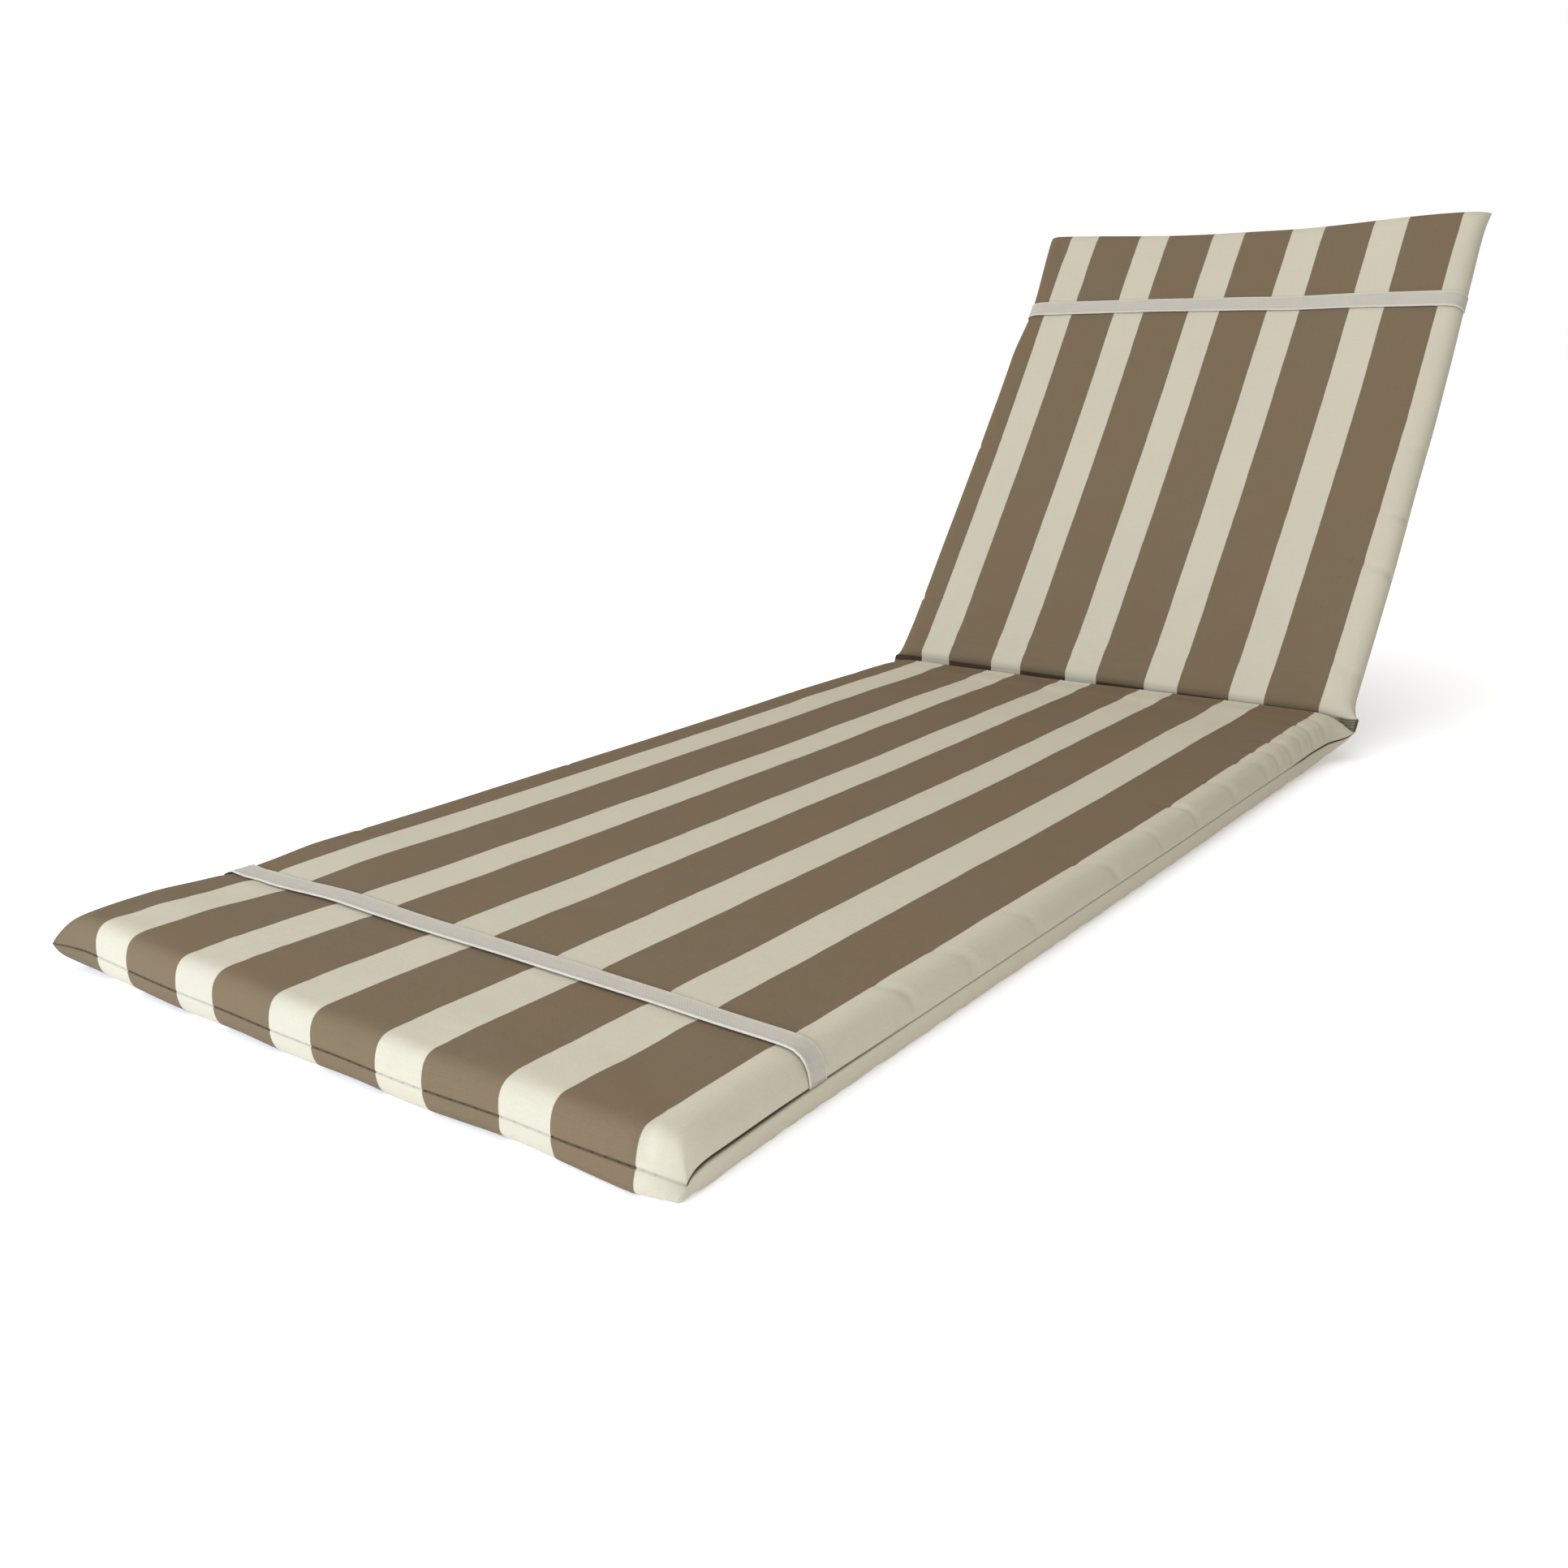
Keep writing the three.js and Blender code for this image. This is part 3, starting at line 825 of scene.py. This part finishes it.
def make_stitches(cover):
    """One stitch after another in both end seams, as one piece."""
    bm = bmesh.new()
    for along in (-SEAT_LENGTH, BACK_LENGTH):
        points = rim_points(cover, along)
        since = 0
        for (_, start, normal), (_, end, _) in zip(points, points[1:]):
            since += (end - start).length
            if since < STITCH_STEP * MM:
                continue
            since = 0
            turn = (end - start).to_track_quat("X", "Z").to_matrix().to_4x4()
            size = Matrix.Diagonal((*STITCH_SIZE, 1)) * (MM / 2)
            size[3][3] = 1
            place = Matrix.Translation((start + end) / 2 + normal * 0.5 * MM)
            bmesh.ops.create_icosphere(bm, subdivisions=1, radius=1, matrix=place @ turn @ size)
    mesh = bpy.data.meshes.new("stitches")
    bm.to_mesh(mesh)
    bm.free()
    stitches = add_object("stitches", mesh)
    stitches.data.shade_smooth()
    return stitches


# Elastic bands


def above_face(across, along, height):
    """Point above the face by a small height, square to the cover."""
    nudge = 0.4
    here = cover_points(across, along)[0]
    inward = nudge if across < 0 else -nudge
    beside = (cover_points(across + inward, along)[0] - here) * (1 if inward > 0 else -1)
    ahead = cover_points(across, along + nudge)[0] - here
    return here + beside.cross(ahead).normalized() * height


BAND_END = WIDTH / 2 - 0.03
BAND_CROSS = (
    {"share": -0.5, "height": 0.35},
    {"share": -0.48, "height": 0.95},
    {"share": -0.44, "height": 1.2},
    {"share": -0.39, "height": 0.95},
    {"share": -0.2, "height": 0.9},
    {"share": 0, "height": 0.9},
    {"share": 0.2, "height": 0.9},
    {"share": 0.39, "height": 0.95},
    {"share": 0.44, "height": 1.2},
    {"share": 0.48, "height": 0.95},
    {"share": 0.5, "height": 0.35},
)


def band_places():
    inner = [column for column in COLUMNS[1:-1]]
    return [-BAND_END] + inner + [BAND_END]


def make_band(name, line):
    """A flat woven band along a line over the face, with a thicker edge at each side."""
    places = band_places()
    last_place, last_cross = len(places) - 1, len(BAND_CROSS) - 1
    bm = bmesh.new()
    uv_layer = bm.loops.layers.uv.new("weave")
    bmesh.ops.create_grid(bm, x_segments=last_place, y_segments=last_cross, size=0.5)
    middles = [above_face(across, read_table(line, "across", "along", across), 1) for across in places]
    lengths = cloth_lengths(middles)
    cells = {}
    for vert in bm.verts:
        cells[vert] = (round((vert.co.x + 0.5) * last_place), round((vert.co.y + 0.5) * last_cross))
    for vert, (column, row) in cells.items():
        across, cross = places[column], BAND_CROSS[row]
        middle = read_table(line, "across", "along", across)
        along = middle + cross["share"] * BAND_WIDTH
        height = BAND_GAP + cross["height"] + slow_waves(across, middle)
        vert.co = to_model(above_face(across, along, height)) + move_at(across, middle, 0)
    for face in bm.faces:
        for loop in face.loops:
            column, row = cells[loop.vert]
            loop[uv_layer].uv = (lengths[column], BAND_CROSS[row]["share"] * BAND_WIDTH * MM)
    bmesh.ops.solidify(bm, geom=bm.faces[:], thickness=-0.5 * MM)
    bmesh.ops.recalc_face_normals(bm, faces=bm.faces)
    mesh = bpy.data.meshes.new(name)
    bm.to_mesh(mesh)
    bm.free()
    band = add_object(name, mesh)
    band.data.shade_smooth()
    return band, lengths[-1] - lengths[0]


# Materials


class Graph:
    """Makes and joins the nodes of one tree."""

    def __init__(self, tree):
        self.tree = tree
        self.tree.nodes.clear()

    def add(self, kind, **settings):
        node = self.tree.nodes.new(kind)
        for name, value in settings.items():
            setattr(node, name, value)
        return node

    def join(self, source, target):
        self.tree.links.new(source, target)

    def feed(self, target, value):
        if isinstance(value, bpy.types.NodeSocket):
            self.join(value, target)
        else:
            target.default_value = value

    def math(self, operation, first, second=0.0, clamp=False):
        node = self.add("ShaderNodeMath", operation=operation, use_clamp=clamp)
        self.feed(node.inputs[0], first)
        self.feed(node.inputs[1], second)
        return node.outputs[0]

    def blend(self, share, first, second):
        node = self.add("ShaderNodeMix", data_type="RGBA")
        self.feed(node.inputs["Factor"], share)
        self.feed(node.inputs["A"], first)
        self.feed(node.inputs["B"], second)
        return node.outputs["Result"]

    def noise(self, vector, scale, detail=3.0, roughness=0.5):
        node = self.add("ShaderNodeTexNoise")
        self.feed(node.inputs["Vector"], vector)
        self.feed(node.inputs["Scale"], scale)
        self.feed(node.inputs["Detail"], detail)
        self.feed(node.inputs["Roughness"], roughness)
        return node.outputs["Fac"]

    def ramp(self, value, low, high):
        node = self.add("ShaderNodeMapRange", interpolation_type="SMOOTHSTEP")
        self.feed(node.inputs["Value"], value)
        self.feed(node.inputs["From Min"], low)
        self.feed(node.inputs["From Max"], high)
        return node.outputs["Result"]


def new_group(name, inputs, outputs):
    """A shader node group with named sockets, and the graph inside it."""
    tree = bpy.data.node_groups.new(name, "ShaderNodeTree")
    for label, kind, value in inputs:
        socket = tree.interface.new_socket(name=label, in_out="INPUT", socket_type=kind)
        if value is not None:
            socket.default_value = value
    for label, kind in outputs:
        tree.interface.new_socket(name=label, in_out="OUTPUT", socket_type=kind)
    graph = Graph(tree)
    return tree, graph, graph.add("NodeGroupInput"), graph.add("NodeGroupOutput")


def yarn_group():
    """Yarns that pass over and under each other: their height, and how light each one is."""
    inputs = (
        ("Cloth", "NodeSocketVector", None),
        ("Warp Size", "NodeSocketFloat", 0.0008),
        ("Weft Size", "NodeSocketFloat", 0.0009),
    )
    outputs = (("Height", "NodeSocketFloat"), ("Shade", "NodeSocketFloat"))
    tree, graph, start, end = new_group("woven yarns", inputs, outputs)
    split = graph.add("ShaderNodeSeparateXYZ")
    graph.join(start.outputs["Cloth"], split.inputs[0])
    warp = graph.math("DIVIDE", split.outputs["X"], start.outputs["Warp Size"])
    weft = graph.math("DIVIDE", split.outputs["Y"], start.outputs["Weft Size"])
    warp_round = graph.math("ABSOLUTE", graph.math("SINE", graph.math("MULTIPLY", warp, pi)))
    weft_round = graph.math("ABSOLUTE", graph.math("SINE", graph.math("MULTIPLY", weft, pi)))
    crossing = graph.math("ADD", graph.math("FLOOR", warp), graph.math("FLOOR", weft))
    over = graph.math("ABSOLUTE", graph.math("MODULO", crossing, 2.0))
    gap = graph.math("SUBTRACT", warp_round, weft_round)
    height = graph.math("ADD", weft_round, graph.math("MULTIPLY", gap, over))
    graph.join(height, end.inputs["Height"])
    slub = graph.add("ShaderNodeMapping")
    graph.join(start.outputs["Cloth"], slub.inputs["Vector"])
    slub.inputs["Scale"].default_value = (900.0, 35.0, 1.0)
    other_slub = graph.add("ShaderNodeMapping")
    graph.join(start.outputs["Cloth"], other_slub.inputs["Vector"])
    other_slub.inputs["Scale"].default_value = (35.0, 800.0, 1.0)
    along_noise = graph.noise(slub.outputs[0], 1.0, 2.0)
    across_noise = graph.noise(other_slub.outputs[0], 1.0, 2.0)
    both = graph.math("ADD", along_noise, across_noise)
    graph.join(graph.math("MULTIPLY", both, 0.5), end.inputs["Shade"])
    return tree


YARNS = yarn_group()


def new_material(name, roughness, sheen):
    material = bpy.data.materials.new(name)
    material.use_nodes = True
    graph = Graph(material.node_tree)
    shader = graph.add("ShaderNodeBsdfPrincipled")
    shader.inputs["Roughness"].default_value = roughness
    shader.inputs["Sheen Weight"].default_value = sheen
    shader.inputs["Sheen Roughness"].default_value = 0.5
    shader.inputs["Specular IOR Level"].default_value = 0.1
    output = graph.add("ShaderNodeOutputMaterial")
    graph.join(shader.outputs[0], output.inputs["Surface"])
    return material, graph, shader


def woven(graph, warp_size, weft_size):
    """The yarn group on a material's cloth lengths."""
    cloth = graph.add("ShaderNodeUVMap", uv_map="weave")
    yarns = graph.add("ShaderNodeGroup", node_tree=YARNS)
    graph.join(cloth.outputs[0], yarns.inputs["Cloth"])
    yarns.inputs["Warp Size"].default_value = warp_size
    yarns.inputs["Weft Size"].default_value = weft_size
    return cloth.outputs[0], yarns


def add_bump(graph, shader, height, distance, strength):
    bump = graph.add("ShaderNodeBump")
    bump.inputs["Distance"].default_value = distance
    bump.inputs["Strength"].default_value = strength
    graph.join(height, bump.inputs["Height"])
    graph.join(bump.outputs[0], shader.inputs["Normal"])


BROWN = (0.145, 0.106, 0.061, 1)
BROWN_LIGHT = (0.185, 0.138, 0.083, 1)
CREAM = (0.49, 0.44, 0.325, 1)
CREAM_LIGHT = (0.57, 0.515, 0.40, 1)
ELASTIC = (0.37, 0.335, 0.275, 1)
ELASTIC_LIGHT = (0.56, 0.52, 0.44, 1)
# Painted shadow: dark olive for the notch of the hinge, with painted pleats of light and shade
NOTCH_PAINTED_SHADE = (0.075, 0.07, 0.042, 1)
# Colours of the thread, which are also painted as shade into the seam grooves and along the crease
BROWN_THREAD_AND_SHADE = (0.05, 0.035, 0.02, 1)
CREAM_THREAD_AND_SHADE = (0.41, 0.38, 0.31, 1)


def stripes_group():
    """Where the cream stripes are, from the distance across the cushion."""
    inputs = (("Across", "NodeSocketFloat", 0.0),)
    tree, graph, start, end = new_group("stripes", inputs, (("Cream", "NodeSocketFloat"),))
    first = (FIRST_CREAM - 10 * STRIPE_REPEAT) * MM + SHIFT.x
    from_first = graph.math("SUBTRACT", start.outputs["Across"], first)
    share = graph.math("FRACT", graph.math("DIVIDE", from_first, STRIPE_REPEAT * MM))
    away = graph.math("ABSOLUTE", graph.math("SUBTRACT", share, CREAM_SHARE / 2))
    half = CREAM_SHARE / 2
    cream = graph.math("SUBTRACT", 1.0, graph.ramp(away, half - 0.003, half + 0.003))
    before = graph.ramp(share, 0.997, 1.003)
    graph.join(graph.math("MAXIMUM", cream, before), end.inputs["Cream"])
    return tree


STRIPES = stripes_group()


def striped(graph, waver):
    """The stripe group on a material, its borders moved by a small waver."""
    place = graph.add("ShaderNodeTexCoord")
    split = graph.add("ShaderNodeSeparateXYZ")
    graph.join(place.outputs["Object"], split.inputs[0])
    stripes = graph.add("ShaderNodeGroup", node_tree=STRIPES)
    graph.join(graph.math("ADD", split.outputs["X"], waver), stripes.inputs["Across"])
    return stripes.outputs["Cream"]


BROWN_RED = (0.175, 0.117, 0.068, 1)
CREAM_GREY = (0.50, 0.465, 0.365, 1)
PLEAT_STEP = 3.1


def split_along(graph):
    """Distance up the cushion, in millimetres, from the place kept on the cover."""
    places = graph.add("ShaderNodeAttribute", attribute_name="place")
    split = graph.add("ShaderNodeSeparateXYZ")
    graph.join(places.outputs["Vector"], split.inputs[0])
    return split.outputs["Y"]


def cover_material():
    material, graph, shader = new_material("striped cover", 0.92, 0.0)
    cloth, yarns = woven(graph, 0.0008, 0.0009)
    waver = graph.math("SUBTRACT", graph.noise(cloth, 60.0, 2.0), 0.5)
    cream = striped(graph, graph.math("MULTIPLY", waver, 0.0008))
    mottle = graph.ramp(graph.noise(cloth, 9.0, 3.0), 0.35, 0.65)
    brown_colour = graph.blend(yarns.outputs["Shade"], BROWN, BROWN_LIGHT)
    brown_colour = graph.blend(graph.math("MULTIPLY", mottle, 0.5), brown_colour, BROWN_RED)
    cream_colour = graph.blend(yarns.outputs["Shade"], CREAM, CREAM_LIGHT)
    cream_colour = graph.blend(graph.math("MULTIPLY", mottle, 0.35), cream_colour, CREAM_GREY)
    colour = graph.blend(cream, brown_colour, cream_colour)

    # Painted shade: along the crease and the end seams, in the side seam's groove, and in the notch
    painted_shade_attribute = graph.add("ShaderNodeAttribute", attribute_name="shade")
    shade = graph.add("ShaderNodeSeparateXYZ")
    graph.join(painted_shade_attribute.outputs["Vector"], shade.inputs[0])
    shadow = graph.blend(cream, BROWN_THREAD_AND_SHADE, CREAM_THREAD_AND_SHADE)
    colour = graph.blend(shade.outputs["Y"], colour, shadow)
    colour = graph.blend(shade.outputs["X"], colour, BROWN_THREAD_AND_SHADE)
    # Painted pleats of light and shade inside the notch's painted shade
    painted_pleat_shade = graph.math("SINE", graph.math("MULTIPLY", split_along(graph), 2 * pi / PLEAT_STEP))
    painted_pleat_shade = graph.math("ADD", graph.math("MULTIPLY", painted_pleat_shade, 0.14), 0.8)
    colour = graph.blend(graph.math("MULTIPLY", shade.outputs["Z"], painted_pleat_shade), colour, NOTCH_PAINTED_SHADE)
    graph.join(colour, shader.inputs["Base Color"])
    add_bump(graph, shader, yarns.outputs["Height"], 0.00025, 0.6)
    return material


def stitch_material():
    material, graph, shader = new_material("thread", 0.8, 0)
    colour = graph.blend(striped(graph, 0.0), BROWN_THREAD_AND_SHADE, CREAM_THREAD_AND_SHADE)
    graph.join(colour, shader.inputs["Base Color"])
    return material


def elastic_material():
    material, graph, shader = new_material("woven elastic", 0.75, 0.03)
    cloth, yarns = woven(graph, 0.0012, 0.0014)
    split = graph.add("ShaderNodeSeparateXYZ")
    graph.join(cloth, split.inputs[0])
    from_middle = graph.math("ABSOLUTE", split.outputs["Y"])
    edge = graph.ramp(from_middle, 0.0078, 0.0086)
    middle = graph.blend(yarns.outputs["Shade"], ELASTIC, ELASTIC_LIGHT)
    colour = graph.blend(edge, middle, ELASTIC_LIGHT)
    graph.join(colour, shader.inputs["Base Color"])
    add_bump(graph, shader, yarns.outputs["Height"], 0.0003, 0.7)
    return material


# The pieces

cover = make_cover()
cover.data.materials.clear()
cover.data.materials.append(cover_material())
foot_band, foot_length = make_band("foot_band", FOOT_BAND)
head_band, head_length = make_band("head_band", HEAD_BAND)
stitches = make_stitches(cover)
stitches.data.materials.append(stitch_material())
elastic = elastic_material()
for band in (foot_band, head_band):
    band.data.materials.append(elastic)

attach(cover, "root")
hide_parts("cushion")
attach(stitches, "root")
for band, node, length in ((foot_band, "strap_foot", foot_length), (head_band, "strap_head", head_length)):
    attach(band, "root")
    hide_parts(node)


# Floor, light and camera


def make_floor():
    bm = bmesh.new()
    bmesh.ops.create_grid(bm, x_segments=1, y_segments=1, size=14)
    mesh = bpy.data.meshes.new("floor")
    bm.to_mesh(mesh)
    bm.free()
    floor_piece = add_object("floor", mesh)
    material, graph, shader = new_material("pale floor", 0.9, 0)
    shader.inputs["Base Color"].default_value = (0.95, 0.95, 0.95, 1)
    shader.inputs["Emission Color"].default_value = (1, 1, 1, 1)
    shader.inputs["Emission Strength"].default_value = 0.25
    floor_piece.data.materials.append(material)


def make_light(name, place, target, size, power, colour=(1, 1, 1)):
    data = bpy.data.lights.new(name, "AREA")
    data.shape = "RECTANGLE"
    data.size, data.size_y = size
    data.energy = power
    data.color = colour
    lamp = bpy.data.objects.new(name, data)
    lamp.location = place
    lamp.rotation_euler = (Vector(target) - Vector(place)).to_track_quat("-Z", "Y").to_euler()
    bpy.context.scene.collection.objects.link(lamp)


def make_world():
    """White surroundings, darker on the right, where the camera doesn't look."""
    world = bpy.data.worlds.new("studio")
    world.use_nodes = True
    graph = Graph(world.node_tree)
    direction = graph.add("ShaderNodeTexCoord")
    split = graph.add("ShaderNodeSeparateXYZ")
    graph.join(direction.outputs["Generated"], split.inputs[0])
    dim = graph.math("MULTIPLY", graph.ramp(split.outputs["X"], 0.1, 0.7), 0.85)
    background = graph.add("ShaderNodeBackground")
    background.inputs["Color"].default_value = (1, 1, 1, 1)
    graph.join(graph.math("SUBTRACT", 1.0, dim), background.inputs["Strength"])
    output = graph.add("ShaderNodeOutputWorld")
    graph.join(background.outputs[0], output.inputs["Surface"])
    bpy.context.scene.world = world


def make_camera():
    """The photograph's camera, worked out from the borders of the stripes."""
    azimuth, elevation, roll = 0.654805, 0.294536, -0.010483
    focal_pixels, image_pixels = 1855.74, 1932
    data = bpy.data.cameras.new("camera")
    data.sensor_width = 36
    data.lens = data.sensor_width * focal_pixels / image_pixels
    back = Vector((sin(azimuth) * cos(elevation), -cos(azimuth) * cos(elevation), sin(elevation)))
    level = Vector((cos(azimuth), sin(azimuth), 0))
    upright = back.cross(level)
    right = cos(roll) * level + sin(roll) * upright
    up = cos(roll) * upright - sin(roll) * level
    turn = Matrix((right, up, back)).transposed().to_4x4()
    place = to_model(Vector((794.16, -1661.75, 468.08)))
    camera = bpy.data.objects.new("camera", data)
    camera.matrix_world = Matrix.Translation(place) @ turn
    bpy.context.scene.collection.objects.link(camera)
    bpy.context.scene.camera = camera


COOL = (0.63, 0.77, 1.0)
SOFT_COOL = (0.86, 0.93, 1.0)
make_floor()
make_light("foot softbox", (-0.45, -2.1, 0.5), (-0.05, -0.78, 0.02), (1.3, 0.6), 23, COOL)
make_light("side softbox", (1.4, -1.6, 0.4), (0.3, -0.55, 0.02), (0.9, 0.5), 10, SOFT_COOL)
make_light("front softbox", (-0.9, -3.2, 1.8), (0, 0.3, 0.4), (2.0, 1.6), 9)
make_light("ceiling softbox", (-0.2, -0.3, 3.4), (0, 0, 0), (3.4, 3.4), 30)
make_world()
bpy.context.scene.view_settings.view_transform = "Standard"
make_camera()
